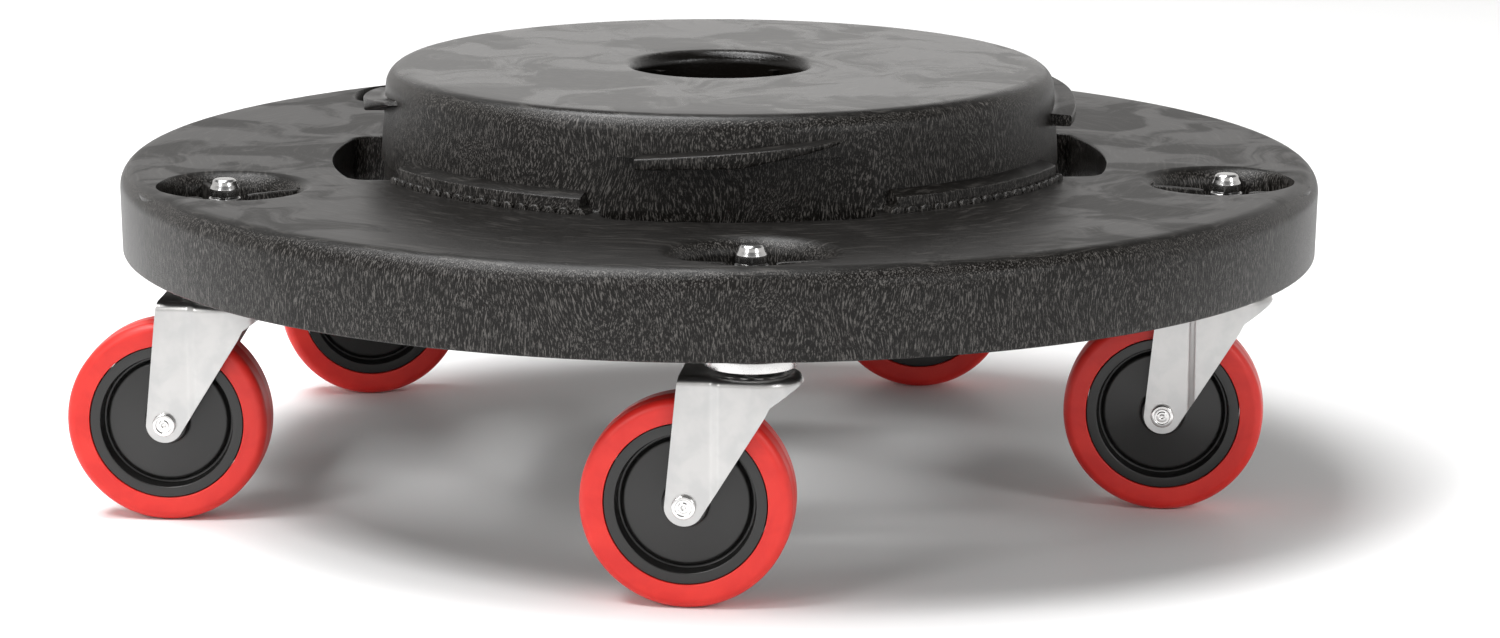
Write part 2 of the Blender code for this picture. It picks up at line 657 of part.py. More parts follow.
def make_casters(parent, mats):
    fixed = {
        "stem": (stem_mesh(), mats["zinc"]),
        "retaining_ring": (retaining_ring_mesh(), mats["spring_steel"]),
        "upper_race": (upper_race_mesh(), mats["race"]),
        "ball_ring": (ball_ring_mesh(), mats["ball"]),
        "fork": (fork_mesh(), mats["zinc_fork"]),
    }
    on_the_axle = {
        "axle_rivet": (axle_rivet_mesh(), mats["rivet"]),
        "axle_sleeve": (axle_sleeve_mesh(), mats["sleeve"]),
        "wheel_hub": (wheel_hub_mesh(), mats["hub"]),
        "wheel_tread": (wheel_tread_mesh(), mats["tread"]),
    }
    for i in range(CASTERS):
        number = i + 1
        x, y = stem_place(i)[1]
        swivel = bpy.data.objects.new(f"caster_{number}_swivel_axis", None)
        swivel.location = (x, y, 0.0)
        swivel.rotation_euler = (0.0, 0.0, math.radians(CASTER_TRAIL_DEG[i]))
        swivel.parent = parent
        bpy.context.collection.objects.link(swivel)
        for name, (mesh, mat) in fixed.items():
            turn = math.pi / 2 if name == "retaining_ring" else 0.0
            place(f"caster_{number}_{name}", mesh, mat, swivel, rotation=(0, 0, turn))
        for name, (mesh, mat) in on_the_axle.items():
            place(f"caster_{number}_{name}", mesh, mat, swivel, (CASTER_TRAIL, 0.0, WHEEL_RADIUS))


# ---------------------------------------------------------------- assembly

def main():
    clear_scene()
    axis = bpy.data.objects.new("deck_axis", None)
    axis.location = (DECK_X, 0.0, 0.0)
    bpy.context.collection.objects.link(axis)
    mats = {
        "zinc": material("zinc_stem", (0.58, 0.60, 0.61), 0.28, 1.0),
        "spring_steel": material("spring_steel", (0.45, 0.46, 0.47), 0.35, 1.0),
        "race": material("zinc_race", (0.62, 0.63, 0.62), 0.30, 1.0),
        "ball": material("ball_steel", (0.55, 0.55, 0.55), 0.15, 1.0),
        "zinc_fork": material("zinc_fork", (0.66, 0.66, 0.64), 0.33, 1.0),
        "rivet": material("rivet_steel", (0.62, 0.63, 0.63), 0.25, 1.0),
        "sleeve": material("sleeve_steel", (0.50, 0.50, 0.50), 0.35, 1.0),
        "hub": material("black_nylon", (0.018, 0.017, 0.017), 0.38),
        "tread": material("red_polyurethane", (0.72, 0.035, 0.03), 0.42),
    }
    make_deck(axis, material("black_structural_foam", (0.035, 0.033, 0.033), 0.55))
    make_casters(axis, mats)


main()
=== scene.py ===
"""Looks of the round container dolly: fine meshes, materials, studio and camera round the CAD frame.

Units are metres, +Z is up and the floor is z = 0.  The deck is built about its own axis, and each
caster about its stem with the wheel trailing towards +X; both are then put where the frame says.
"""

import json
import math

import bmesh
import bpy
from mathutils import Matrix, Vector


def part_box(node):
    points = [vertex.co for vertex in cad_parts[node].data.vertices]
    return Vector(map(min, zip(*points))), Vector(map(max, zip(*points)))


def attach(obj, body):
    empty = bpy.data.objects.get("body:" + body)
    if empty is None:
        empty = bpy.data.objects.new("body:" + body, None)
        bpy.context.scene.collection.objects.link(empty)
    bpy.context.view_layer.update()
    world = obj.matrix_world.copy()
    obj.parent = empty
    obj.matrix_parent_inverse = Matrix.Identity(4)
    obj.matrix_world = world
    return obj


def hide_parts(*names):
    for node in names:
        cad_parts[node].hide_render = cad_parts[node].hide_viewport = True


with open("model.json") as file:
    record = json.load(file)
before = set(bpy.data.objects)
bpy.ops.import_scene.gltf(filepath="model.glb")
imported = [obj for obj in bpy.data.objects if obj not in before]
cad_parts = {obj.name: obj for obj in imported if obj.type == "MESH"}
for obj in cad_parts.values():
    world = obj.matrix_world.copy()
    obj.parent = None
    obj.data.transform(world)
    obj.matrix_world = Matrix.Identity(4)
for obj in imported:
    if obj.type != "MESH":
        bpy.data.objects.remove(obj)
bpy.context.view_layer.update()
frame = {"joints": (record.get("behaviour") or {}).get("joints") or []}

# ---------------------------------------------------------------- places read from the frame

DECK_LOW, DECK_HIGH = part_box("deck")
DECK_AXIS = Vector(((DECK_LOW.x + DECK_HIGH.x) / 2, (DECK_LOW.y + DECK_HIGH.y) / 2, 0.0))
DECK_RADIUS = (DECK_HIGH.x - DECK_LOW.x) / 2
HUB_TOP = DECK_HIGH.z
JOINTS = {joint["name"]: joint for joint in frame["joints"]}
CASTERS = sum(name.endswith("_swivel") for name in JOINTS)
STEMS = [(x - DECK_AXIS.x, y - DECK_AXIS.y) for x, y, _ in
         (JOINTS[f"caster_{n}_swivel"]["pos_m"] for n in range(1, CASTERS + 1))]
STEM_ANGLES = [math.atan2(y, x) for x, y in STEMS]
STEM_CIRCLE = math.hypot(*STEMS[0])
DECK_BODY = "deck_assembly"

SHARP_ANGLE = math.radians(35.0)     # edges sharper than this aren't smoothed over

# ---------------------------------------------------------------- dimensions of the deck

INCH = 0.0254
DECK_TOP = 5.0 * INCH
SKIRT_FOOT = 0.0940
SKIRT_DRAFT = 0.0008
RIM_ROUND = 0.0120
WALL = 0.0045
MID_WALL = DECK_TOP - WALL / 2       # height at which hidden parts run into the deck's wall
CUT_TOP = DECK_TOP + 0.0012          # cutters end this high above the deck
HUB_BASE_RADIUS = 0.1312
HUB_DRAFT = 0.0022                   # hub wall's lean between its foot and its round-over
HUB_ROUND = 0.0077
BORE_RADII = (0.0330, 0.0300, 0.0270)
BORE_SHELVES = (0.1510, 0.1400)
BORE_FOOT = 0.1300
BORE_LIP = 0.0050

LOCKS = 4
SLOT_HALF = 0.0500
SLOT_CORNER = 0.0090
SLOT_EASE = 0.0009                   # rounding of the slot's upper edge
SLOT_WALL = 0.0030                   # box wall round each slot, under the deck
SLOT_WALL_FOOT = 0.1080
POCKET_DISTANCE = 0.1212             # front and back: to the pocket's flat back
POCKET_TOP = 0.1476
POCKET_SLOT_RADIUS = 0.1425
SIDE_SLOT_RADII = (0.1303, 0.1500)   # left and right, where the hub's wall runs on down

RIB_START = math.radians(-16.2)
RIB_END = math.radians(15.9)
RIB_RADIUS = 0.1378
RIB_TIP_RADIUS = 0.1333
RIB_TOP, RIB_TOP_RISE = 0.1485, 0.0057
RIB_FOOT, RIB_FOOT_RISE, RIB_TIP_RISE = 0.1443, 0.0011, 0.0076

LEDGE_HALF_ANGLE = math.radians(20.0)
LEDGE_RADIUS = 0.1370
LEDGE_EDGE = 0.1326
LEDGE_BACK = 0.1346
SCALLOP_PITCH = 0.0060
SCALLOP_RADIUS = 0.0026

DISH_FLOOR = 0.1135
DISH_RADIUS = 0.0275
DISH_LIP = 0.0320
DISH_RIM_RADIUS = 0.0256             # towards the deck's rim, where the wall is steep
CUP_RADIUS = 0.0318
CUP_FOOT = 0.1090
BOSS_RADIUS = 0.0095
BOSS_TOP = 0.1195
BOSS_FOOT = 0.0928
STEM_BORE = 0.0055
DISH_WEB_TOPS = (0.1230, 0.1234, 0.1239, 0.1240)
WEB = 0.0030                         # thickness of the moulded webs
WEB_FOOT = 0.0985
HUB_WEB_FOOT = 0.1360
WEB_INNER = HUB_BASE_RADIUS - WALL / 2
WEB_OUTER = DECK_RADIUS - WALL / 2 - SKIRT_DRAFT

# ---------------------------------------------------------------- dimensions of a caster

WHEEL_RADIUS = 0.0381
WHEEL_HALF = 0.0103
TRAIL = 0.0219
FORK_TOP = 0.0848
FORK_SHEET = 0.0020
FORK_EYE = 0.0070                    # round end of each leg, about the axle
FORK_SHOULDER = -0.0040              # along the trail, where the nose's round begins
FORK_STEP = (0.0132, 0.0040)         # where the sides step in behind the stem, and how long it takes
FORK_HALF = 0.0140
FORK_WIDE = 0.0156
FORK_NOSE = -0.0187
FORK_TAIL = 0.0247
FORK_BEND = 0.0035
STEM_TOP = 0.1297
STEM_FOOT, STEM_SWAGE = 0.0792, 0.0825
GROOVE = (0.1210, 0.1230)
RACE_TOP = 0.0925
RACE_FOOT = 0.0866
RACE_RADII = (0.01465, 0.01625)      # inside and outside of its skirt
BALLS = 13
BALL_CIRCLE = 0.0112
BALL_RADIUS = 0.0022
BALL_HEIGHT = 0.08765
CAGE_HALF_WIDTH, CAGE_HALF_SHEET = 0.0016, 0.0005
RING_RADII = (0.0045, 0.0060)
RING_GAP = math.radians(24.0)
SLEEVE_RADII = (0.0032, 0.0042)


# ---------------------------------------------------------------- outlines

def arc(centre, radius, start, end, steps):
    """Points of a round stretch, both ends included; angles in degrees."""
    points = []
    for i in range(steps + 1):
        angle = math.radians(start + (end - start) * i / steps)
        points.append((centre[0] + radius * math.cos(angle), centre[1] + radius * math.sin(angle)))
    return points


def rounded(corners, fine=6):
    """A closed outline through (x, y, fillet radius) corners."""
    outline = []
    for i, (x, y, radius) in enumerate(corners):
        here = Vector((x, y))
        back = Vector(corners[i - 1][:2]) - here
        ahead = Vector(corners[(i + 1) % len(corners)][:2]) - here
        reach = 0.49 * min(back.length, ahead.length)
        if radius <= 0 or reach < 1e-7:
            outline.append((x, y))
            continue
        back.normalize()
        ahead.normalize()
        half = back.angle(ahead) / 2
        if half > math.radians(88):
            outline.append((x, y))
            continue
        tangent = min(radius / math.tan(half), reach)
        true_radius = tangent * math.tan(half)
        centre = here + (back + ahead).normalized() * (true_radius / math.sin(half))
        first = here + back * tangent - centre
        turn = math.pi - 2 * half
        side = 1 if back.x * ahead.y - back.y * ahead.x < 0 else -1
        steps = max(2, math.ceil(fine * turn / (math.pi / 2)))
        for k in range(steps + 1):
            angle = side * turn * k / steps
            cos, sin = math.cos(angle), math.sin(angle)
            outline.append((centre.x + first.x * cos - first.y * sin,
                            centre.y + first.x * sin + first.y * cos))
    return outline


def along(start, end, spacing):
    """Sharp corners between two points of a profile, both ends left out."""
    count = max(1, round((Vector(end) - Vector(start)).length / spacing))
    return [(start[0] + (end[0] - start[0]) * k / count,
             start[1] + (end[1] - start[1]) * k / count, 0.0) for k in range(1, count)]


def eased(share):
    return share * share * (3 - 2 * share)


def spun(row, angle):
    """A (radius, height) row as points at one angle about Z."""
    cos, sin = math.cos(angle), math.sin(angle)
    return [(radius * cos, radius * sin, height) for radius, height in row]


# ---------------------------------------------------------------- meshes

def finished(verts, faces, name):
    """A mesh with its doubles merged and its faces pointing out."""
    mesh = bpy.data.meshes.new(name)
    mesh.from_pydata(verts, [], faces)
    bm = bmesh.new()
    bm.from_mesh(mesh)
    bmesh.ops.remove_doubles(bm, verts=bm.verts, dist=1e-7)
    bmesh.ops.recalc_face_normals(bm, faces=bm.faces)
    bm.to_mesh(mesh)
    bm.free()
    return mesh


def turned(outline, steps, name="turned"):
    """A closed (radius, height) outline turned once about Z."""
    verts, rows = [], []
    for radius, height in outline:
        if radius < 1e-7:
            rows.append([len(verts)] * steps)
            verts.append((0.0, 0.0, height))
            continue
        rows.append(list(range(len(verts), len(verts) + steps)))
        for k in range(steps):
            angle = math.tau * k / steps
            verts.append((radius * math.cos(angle), radius * math.sin(angle), height))
    faces = []
    for near, far in zip(rows, rows[1:] + rows[:1]):
        for k in range(steps):
            j = (k + 1) % steps
            corners = [near[k], near[j], far[j], far[k]]
            ring = [c for n, c in enumerate(corners) if c != corners[n - 1]]
            if len(ring) > 2:
                faces.append(ring)
    return finished(verts, faces, name)


def swept(sections, name="swept"):
    """A solid through rows of points with equal counts, closed at both ends."""
    verts = [point for section in sections for point in section]
    count = len(sections[0])
    last = len(sections) - 1
    faces = []
    for row in range(last):
        near, far = row * count, (row + 1) * count
        for i in range(count):
            j = (i + 1) % count
            faces.append((near + i, near + j, far + j, far + i))
    faces.append(tuple(range(count)))
    faces.append(tuple(range(last * count, len(sections) * count)))
    return finished(verts, faces, name)


def prism(outline, low, high, name="prism"):
    return swept([[(x, y, low) for x, y in outline], [(x, y, high) for x, y in outline]], name)


def block(low, high):
    corners = ((low[0], low[1]), (high[0], low[1]), (high[0], high[1]), (low[0], high[1]))
    return prism(corners, low[2], high[2])


def turn(angle):
    return Matrix.Rotation(angle, 4, "Z")


def moved(mesh, matrix):
    copy = mesh.copy()
    copy.transform(matrix)
    return copy


def gathered(meshes, name="gathered"):
    """Several meshes as one, each still its own closed shell."""
    bm = bmesh.new()
    for mesh in meshes:
        bm.from_mesh(mesh)
    result = bpy.data.meshes.new(name)
    bm.to_mesh(result)
    bm.free()
    return result


def combined(body, others, operation):
    """The body with the other meshes added, cut away or kept in common."""
    host = bpy.data.objects.new("host", body)
    bpy.context.collection.objects.link(host)
    tools = []
    for other in others:
        tool = bpy.data.objects.new("tool", other)
        bpy.context.collection.objects.link(tool)
        tools.append(tool)
        step = host.modifiers.new("step", "BOOLEAN")
        step.operation = operation
        step.solver = "EXACT"
        step.object = tool
    graph = bpy.context.evaluated_depsgraph_get()
    result = bpy.data.meshes.new_from_object(host.evaluated_get(graph))
    for extra in tools + [host]:
        bpy.data.objects.remove(extra, do_unlink=True)
    bm = bmesh.new()
    bm.from_mesh(result)
    bmesh.ops.remove_doubles(bm, verts=bm.verts, dist=2e-6)
    bm.to_mesh(result)
    bm.free()
    return result


def piece(name, mesh, mat, body, nodes, matrix):
    """One shown object that rides on a CAD body and stands for CAD nodes."""
    obj = bpy.data.objects.new(name, mesh)
    if not mesh.materials:
        mesh.materials.append(mat)
        mesh.shade_smooth()
        mesh.set_sharp_from_angle(angle=SHARP_ANGLE)
    bpy.context.collection.objects.link(obj)
    obj.matrix_world = matrix
    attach(obj, body)
    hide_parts(*nodes)


# ---------------------------------------------------------------- material nodes

class Nodes:
    """Short calls for building one material's node tree."""

    def __init__(self, name):
        self.mat = bpy.data.materials.new(name)
        self.mat.use_nodes = True
        self.tree = self.mat.node_tree
        self.shader = self.tree.nodes["Principled BSDF"]
        self.coords = self.tree.nodes.new("ShaderNodeTexCoord")

    def make(self, kind, inputs=(), **settings):
        node = self.tree.nodes.new(kind)
        for key, value in settings.items():
            setattr(node, key, value)
        for key, value in dict(inputs).items():
            self.feed(node.inputs[key], value)
        return node

    def feed(self, socket, value):
        if isinstance(value, bpy.types.NodeSocket):
            self.tree.links.new(value, socket)
        else:
            socket.default_value = value

    def value(self, operation, *inputs):
        node = self.make("ShaderNodeMath", operation=operation)
        for socket, value in zip(node.inputs, inputs):
            self.feed(socket, value)
        return node.outputs[0]

    def vector(self, operation, *inputs):
        node = self.make("ShaderNodeVectorMath", operation=operation)
        for socket, value in zip(node.inputs, inputs):
            self.feed(socket, value)
        return node.outputs["Vector"]

    def noise(self, where, scale, detail=3.0, roughness=0.55, distortion=0.0):
        return self.make("ShaderNodeTexNoise", {
            "Vector": where, "Scale": scale, "Detail": detail,
            "Roughness": roughness, "Distortion": distortion}).outputs["Fac"]

    def ramp(self, value, low, high):
        """0 at low and 1 at high, eased at both ends."""
        node = self.make("ShaderNodeMapRange", {"Value": value, "From Min": low, "From Max": high},
                         interpolation_type="SMOOTHSTEP")
        return node.outputs["Result"]

    def mix(self, factor, one, two):
        node = self.make("ShaderNodeMix", data_type="FLOAT")
        for socket, value in zip(node.inputs[:1] + node.inputs[2:4], (factor, one, two)):
            self.feed(socket, value)
        return node.outputs[0]

    def colour(self, factor, one, two):
        node = self.make("ShaderNodeMix", data_type="RGBA")
        for socket, value in zip(node.inputs[:1] + node.inputs[6:8], (factor, one, two)):
            self.feed(socket, value)
        return node.outputs[2]

    def bump(self, height, strength, distance, under=None):
        inputs = {"Height": height, "Strength": strength, "Distance": distance}
        if under is not None:
            inputs["Normal"] = under
        return self.make("ShaderNodeBump", inputs).outputs["Normal"]

    def out(self, **inputs):
        """The material with these inputs on its shader; an underscore stands for a space."""
        for key, value in inputs.items():
            self.feed(self.shader.inputs[key.replace("_", " ")], value)
        return self.mat


def grey(level, warm=0.0):
    return (level * (1 + warm), level, level * (1 - warm), 1.0)


def foam_plastic():
    """Black structural foam: flow-marked tops, fine upright fibres on the walls."""
    n = Nodes("black_foam_plastic")
    place = n.coords.outputs["Object"]
    x, y, z = n.make("ShaderNodeSeparateXYZ", {"Vector": place}).outputs
    radius = n.value("SQRT", n.value("ADD", n.value("MULTIPLY", x, x), n.value("MULTIPLY", y, y)))
    safe = n.value("MAXIMUM", radius, 0.002)
    swirl = n.make("ShaderNodeTexNoise", {"Vector": place, "Scale": 26.0, "Detail": 1.0})
    shift = n.vector("SUBTRACT", swirl.outputs["Color"], (0.5, 0.5, 0.5))

    # Upright fibres lean one way and the other as the plastic flowed.
    rise = n.value("MULTIPLY", z, 34.0)
    lean = n.vector("MULTIPLY", n.vector("MULTIPLY", shift, (0.0045, 0.0045, 0.0)),
                    n.make("ShaderNodeCombineXYZ", {"X": rise, "Y": rise}).outputs[0])
    leaning = n.vector("ADD", place, lean)
    wall_fibre = n.noise(n.vector("MULTIPLY", leaning, (2100.0, 2100.0, 300.0)), 1.0, 3.0, 0.7)

    # On level faces the fibres run round the deck.
    round_way = n.make("ShaderNodeCombineXYZ", {
        "X": n.value("DIVIDE", n.value("MULTIPLY", x, 13.0), safe),
        "Y": n.value("DIVIDE", n.value("MULTIPLY", y, 13.0), safe),
        "Z": n.value("MULTIPLY", radius, 620.0)}).outputs[0]
    wander = n.vector("MULTIPLY", shift, (3.0, 3.0, 9.0))
    top_fibre = n.noise(n.vector("ADD", round_way, wander), 1.0, 2.5, 0.6)

    # Where the point is: on a level face, on the deck outside the hub, or inside the hand hole.
    facing = n.make("ShaderNodeSeparateXYZ", {"Vector": n.coords.outputs["Normal"]}).outputs["Z"]
    level = n.ramp(n.value("ABSOLUTE", facing), 0.72, 0.97)
    fibre = n.mix(level, wall_fibre, top_fibre)
    in_bore = n.value("MULTIPLY", n.ramp(radius, 0.0372, 0.0352), n.value("SUBTRACT", 1.0, level))
    on_deck = n.ramp(radius, 0.1290, 0.1320)

    drift = n.vector("ADD", place, n.vector("MULTIPLY", shift, (0.06, 0.06, 0.0)))
    cloud = n.ramp(n.noise(drift, 24.0, 5.0, 0.62, 0.8), 0.44, 0.58)
    speck = n.ramp(n.noise(place, 1000.0, 2.0, 0.7), 0.60, 0.76)
    thread = n.ramp(fibre, n.mix(level, 0.50, 0.52), n.mix(level, 0.64, 0.68))
    pale = n.value("ADD", n.value("MULTIPLY", thread, n.mix(level, 0.75, 0.18)),
                   n.value("MULTIPLY", speck, 0.35))
    pale = n.value("MULTIPLY", pale, n.value("SUBTRACT", 1.0, in_bore))
    base = n.colour(pale, grey(0.0024, 0.22), grey(0.085, 0.07))

    # The hub's top is glossier than the deck's and the walls, and the bore is the smoothest.
    top_rough = n.mix(on_deck, n.mix(cloud, 0.24, 0.32), n.mix(cloud, 0.36, 0.46))
    rough = n.mix(in_bore, n.mix(level, n.mix(thread, 0.33, 0.42), top_rough), 0.14)
    top_shine = n.mix(on_deck, 0.52, n.mix(cloud, 0.28, 0.22))
    shine = n.mix(level, n.mix(thread, 0.20, 0.36), top_shine)
    grain = n.bump(fibre, n.mix(level, 0.55, 0.25), 0.00025)
    grain = n.bump(n.noise(place, 620.0, 3.0, 0.6), 0.16, 0.00014, grain)
    return n.out(Base_Color=base, Roughness=rough, Normal=grain, IOR=1.5, Specular_IOR_Level=shine)


def zinc(name, level, roughness, spread=0.10):
    """Bright zinc plate, a little uneven, with faint drawing lines."""
    n = Nodes(name)
    place = n.coords.outputs["Object"]
    patch = n.noise(place, 120.0, 3.0, 0.5, 0.3)
    lines = n.noise(n.vector("MULTIPLY", place, (90.0, 700.0, 2600.0)), 1.0, 2.0, 0.6)
    rubbed = n.noise(n.vector("MULTIPLY", place, (420.0, 420.0, 900.0)), 1.0, 3.0, 0.7, 1.2)
    scuff = n.ramp(rubbed, 0.58, 0.74)
    base = n.colour(n.ramp(patch, 0.3, 0.7), grey(level * 0.93, 0.004), grey(level * 1.05, 0.012))
    rough = n.value("ADD", n.mix(patch, roughness - spread / 2, roughness + spread / 2),
                    n.value("MULTIPLY", scuff, 0.12))
    bump = n.bump(lines, 0.08, 0.00003)
    bump = n.bump(patch, 0.06, 0.00005, bump)
    return n.out(Base_Color=base, Roughness=rough, Metallic=1.0, Normal=bump)


def red_tread():
    """Cast polyurethane with a satin skin, faint flow and a few rubbed spots."""
    n = Nodes("red_tread")
    place = n.coords.outputs["Object"]
    flow = n.noise(place, 70.0, 3.0, 0.5, 0.8)
    dust = n.ramp(n.noise(place, 520.0, 3.0, 0.7), 0.63, 0.80)
    body = n.colour(n.ramp(flow, 0.3, 0.7), (0.56, 0.018, 0.014, 1.0), (0.64, 0.028, 0.020, 1.0))
    base = n.colour(n.value("MULTIPLY", dust, 0.18), body, (0.70, 0.15, 0.11, 1.0))
    rough = n.value("ADD", n.mix(flow, 0.36, 0.46), n.value("MULTIPLY", dust, 0.12))
    bump = n.bump(n.noise(place, 900.0, 2.0, 0.6), 0.10, 0.00010)
    return n.out(Base_Color=base, Roughness=rough, Normal=bump, IOR=1.40, Subsurface_Weight=0.12,
                 Subsurface_Radius=(0.004, 0.0008, 0.0006), Subsurface_Scale=1.0)


def black_nylon():
    """Moulded wheel centre: a fine grain with a few pale specks and a faint haze."""
    n = Nodes("black_nylon")
    place = n.coords.outputs["Object"]
    grain = n.noise(place, 1500.0, 2.0, 0.6)
    speck = n.ramp(n.noise(place, 640.0, 2.0, 0.7), 0.68, 0.80)
    haze = n.noise(place, 60.0, 3.0, 0.5)
    base = n.colour(n.value("ADD", n.value("MULTIPLY", speck, 0.5), n.value("MULTIPLY", haze, 0.25)),
                    grey(0.006, 0.05), grey(0.026, 0.02))
    rough = n.mix(haze, 0.28, 0.38)
    return n.out(Base_Color=base, Roughness=rough, Normal=n.bump(grain, 0.14, 0.00008), IOR=1.5)


# ---------------------------------------------------------------- the deck

def deck_shell():
    """The whole moulding's wall, turned from one filleted outline."""
    hub_edge = HUB_BASE_RADIUS - HUB_DRAFT
    outer_foot = DECK_RADIUS - SKIRT_DRAFT
    inner_foot = outer_foot - WALL
    lip = BORE_RADII[0]
    corners = [
        (BORE_RADII[2], BORE_FOOT, 0.0008), (BORE_RADII[2], BORE_SHELVES[1], 0.0012),
        (BORE_RADII[1], BORE_SHELVES[1], 0.0010), (BORE_RADII[1], BORE_SHELVES[0], 0.0012),
        (lip, BORE_SHELVES[0], 0.0010), (lip, HUB_TOP, BORE_LIP)]
    corners += along((lip + 0.0080, HUB_TOP), (hub_edge - HUB_ROUND, HUB_TOP), 0.0070)
    corners += [(hub_edge, HUB_TOP, HUB_ROUND)]
    corners += along((hub_edge + 0.0003, HUB_TOP - 0.0100),
                     (HUB_BASE_RADIUS, DECK_TOP + 0.0030), 0.0060)
    corners += [(HUB_BASE_RADIUS, DECK_TOP, 0.0012)]
    corners += along((HUB_BASE_RADIUS + 0.0040, DECK_TOP),
                     (DECK_RADIUS - RIM_ROUND, DECK_TOP), 0.0045)
    corners += [
        (DECK_RADIUS, DECK_TOP, RIM_ROUND),
        (outer_foot, SKIRT_FOOT, 0.0010), (inner_foot, SKIRT_FOOT, 0.0010),
        (inner_foot + 0.0003, DECK_TOP - WALL, RIM_ROUND - WALL),
        (HUB_BASE_RADIUS - WALL, DECK_TOP - WALL, 0.0020),
        (hub_edge - WALL, HUB_TOP - WALL, HUB_ROUND - WALL),
        (lip + 0.0045, HUB_TOP - WALL, 0.0030), (BORE_RADII[2] + 0.0040, BORE_FOOT, 0.0010)]
    return turned(rounded(corners, 8), 256, "deck_shell")


def at_stems(mesh):
    """A copy of a mesh at each stem, turned with it."""
    return [moved(mesh, turn(a) @ Matrix.Translation((STEM_CIRCLE, 0, 0))) for a in STEM_ANGLES]


def between_locks(mesh):
    """A copy of a mesh in each quarter between two locks."""
    return [moved(mesh, turn(math.tau * (i + 0.5) / LOCKS)) for i in range(LOCKS)]


def cup():
    """Solid plastic round each dish, drawn down to the foot that meets the caster."""
    return turned(rounded([
        (0, BOSS_FOOT, 0), (0.0120, BOSS_FOOT, 0.0006), (0.0130, CUP_FOOT, 0.0015),
        (CUP_RADIUS - 0.0020, CUP_FOOT, 0.0025), (CUP_RADIUS, MID_WALL, 0), (0, MID_WALL, 0)],
        5), 72)


def dish_cutter():
    """A dish's space, steep on the rim's side, with the boss left standing and the stem's bore."""
    space = turned(rounded([
        (0, BOSS_FOOT - 0.0020, 0), (STEM_BORE, BOSS_FOOT - 0.0020, 0), (STEM_BORE, BOSS_TOP, 0),
        (BOSS_RADIUS - 0.0004, BOSS_TOP, 0.0008), (BOSS_RADIUS, DISH_FLOOR, 0.0016),
        (DISH_RADIUS - 0.0013, DISH_FLOOR, 0.0040), (DISH_RADIUS, DECK_TOP - 0.0012, 0.0100),
        (DISH_LIP + 0.0060, CUT_TOP, 0), (0, CUT_TOP, 0)], 12), 96)
    for vert in space.vertices:
        x, y, z = vert.co
        radius = math.hypot(x, y)
        steep = DISH_RIM_RADIUS - 0.08 * (DECK_TOP - z)
        if radius > steep and z > DISH_FLOOR - 0.0001:
            share = min(1.0, (1.0 - x / radius) / 1.15)
            scale = (steep + (radius - steep) * eased(share)) / radius
            vert.co = (x * scale, y * scale, z)
    return space


def slot_outline(pocket, grow=0.0, grow_inner=0.0):
    """A lock slot seen from above (at +X), grown by a little; a pocket's has a flat back."""
    half = SLOT_HALF + grow
    outer = (POCKET_SLOT_RADIUS if pocket else SIDE_SLOT_RADII[1]) + grow
    corner = SLOT_CORNER + grow
    middle = outer - corner
    reach = math.asin((half - corner) / middle)
    centre = (middle * math.cos(reach), middle * math.sin(reach))
    turned_by = math.degrees(reach)
    outline = arc(centre, corner, 90, turned_by, 8)
    outline += arc((0, 0), outer, turned_by, -turned_by, 28)[1:-1]
    outline += arc((centre[0], -centre[1]), corner, -turned_by, -90, 8)
    if pocket:
        inner = POCKET_DISTANCE - grow_inner
        return outline + [(inner, -half), (inner, half)]
    inner = SIDE_SLOT_RADII[0] - grow_inner
    side = math.degrees(math.asin(half / inner))
    return outline + arc((0, 0), inner, -side, side, 28)


def at_locks(mesh, pocket):
    """A copy of a mesh at the front and back locks, or at the left and right ones."""
    first = math.pi / 2 if pocket else 0.0
    return [moved(mesh, turn(first)), moved(mesh, turn(first + math.pi))]


def slot_cutters():
    """The slots through the deck with their upper edges eased; two run up the hub as pockets."""
    cutters = []
    for pocket in (True, False):
        sections = [[(x, y, SKIRT_FOOT) for x, y in slot_outline(pocket)]]
        for k in range(5):
            angle = math.radians(90 * k / 4)
            grow = SLOT_EASE * (1 - math.cos(angle))
            z = DECK_TOP - SLOT_EASE + SLOT_EASE * math.sin(angle)
            sections.append([(x, y, z + 0.00002 * k) for x, y in slot_outline(pocket, grow)])
        top = POCKET_TOP if pocket else CUT_TOP
        sections.append([(x, y, top) for x, y in slot_outline(pocket, SLOT_EASE)])
        cutters += at_locks(swept(sections), pocket)
    return cutters


def slot_boxes():
    """Walls round the slots under the deck, and the flat backs of the front and back pockets."""
    boxes = []
    for pocket in (True, False):
        wall = prism(slot_outline(pocket, SLOT_WALL, SLOT_WALL), SLOT_WALL_FOOT,
                     DECK_TOP - WALL * 0.4)
        boxes += at_locks(wall, pocket)
    outer = HUB_BASE_RADIUS - WALL + 0.0005
    side = math.degrees(math.acos((POCKET_DISTANCE - WALL) / outer))
    back = prism(arc((0, 0), outer, side, -side, 40), SLOT_WALL_FOOT - 0.0004, POCKET_TOP + WALL)
    return boxes + at_locks(back, True)


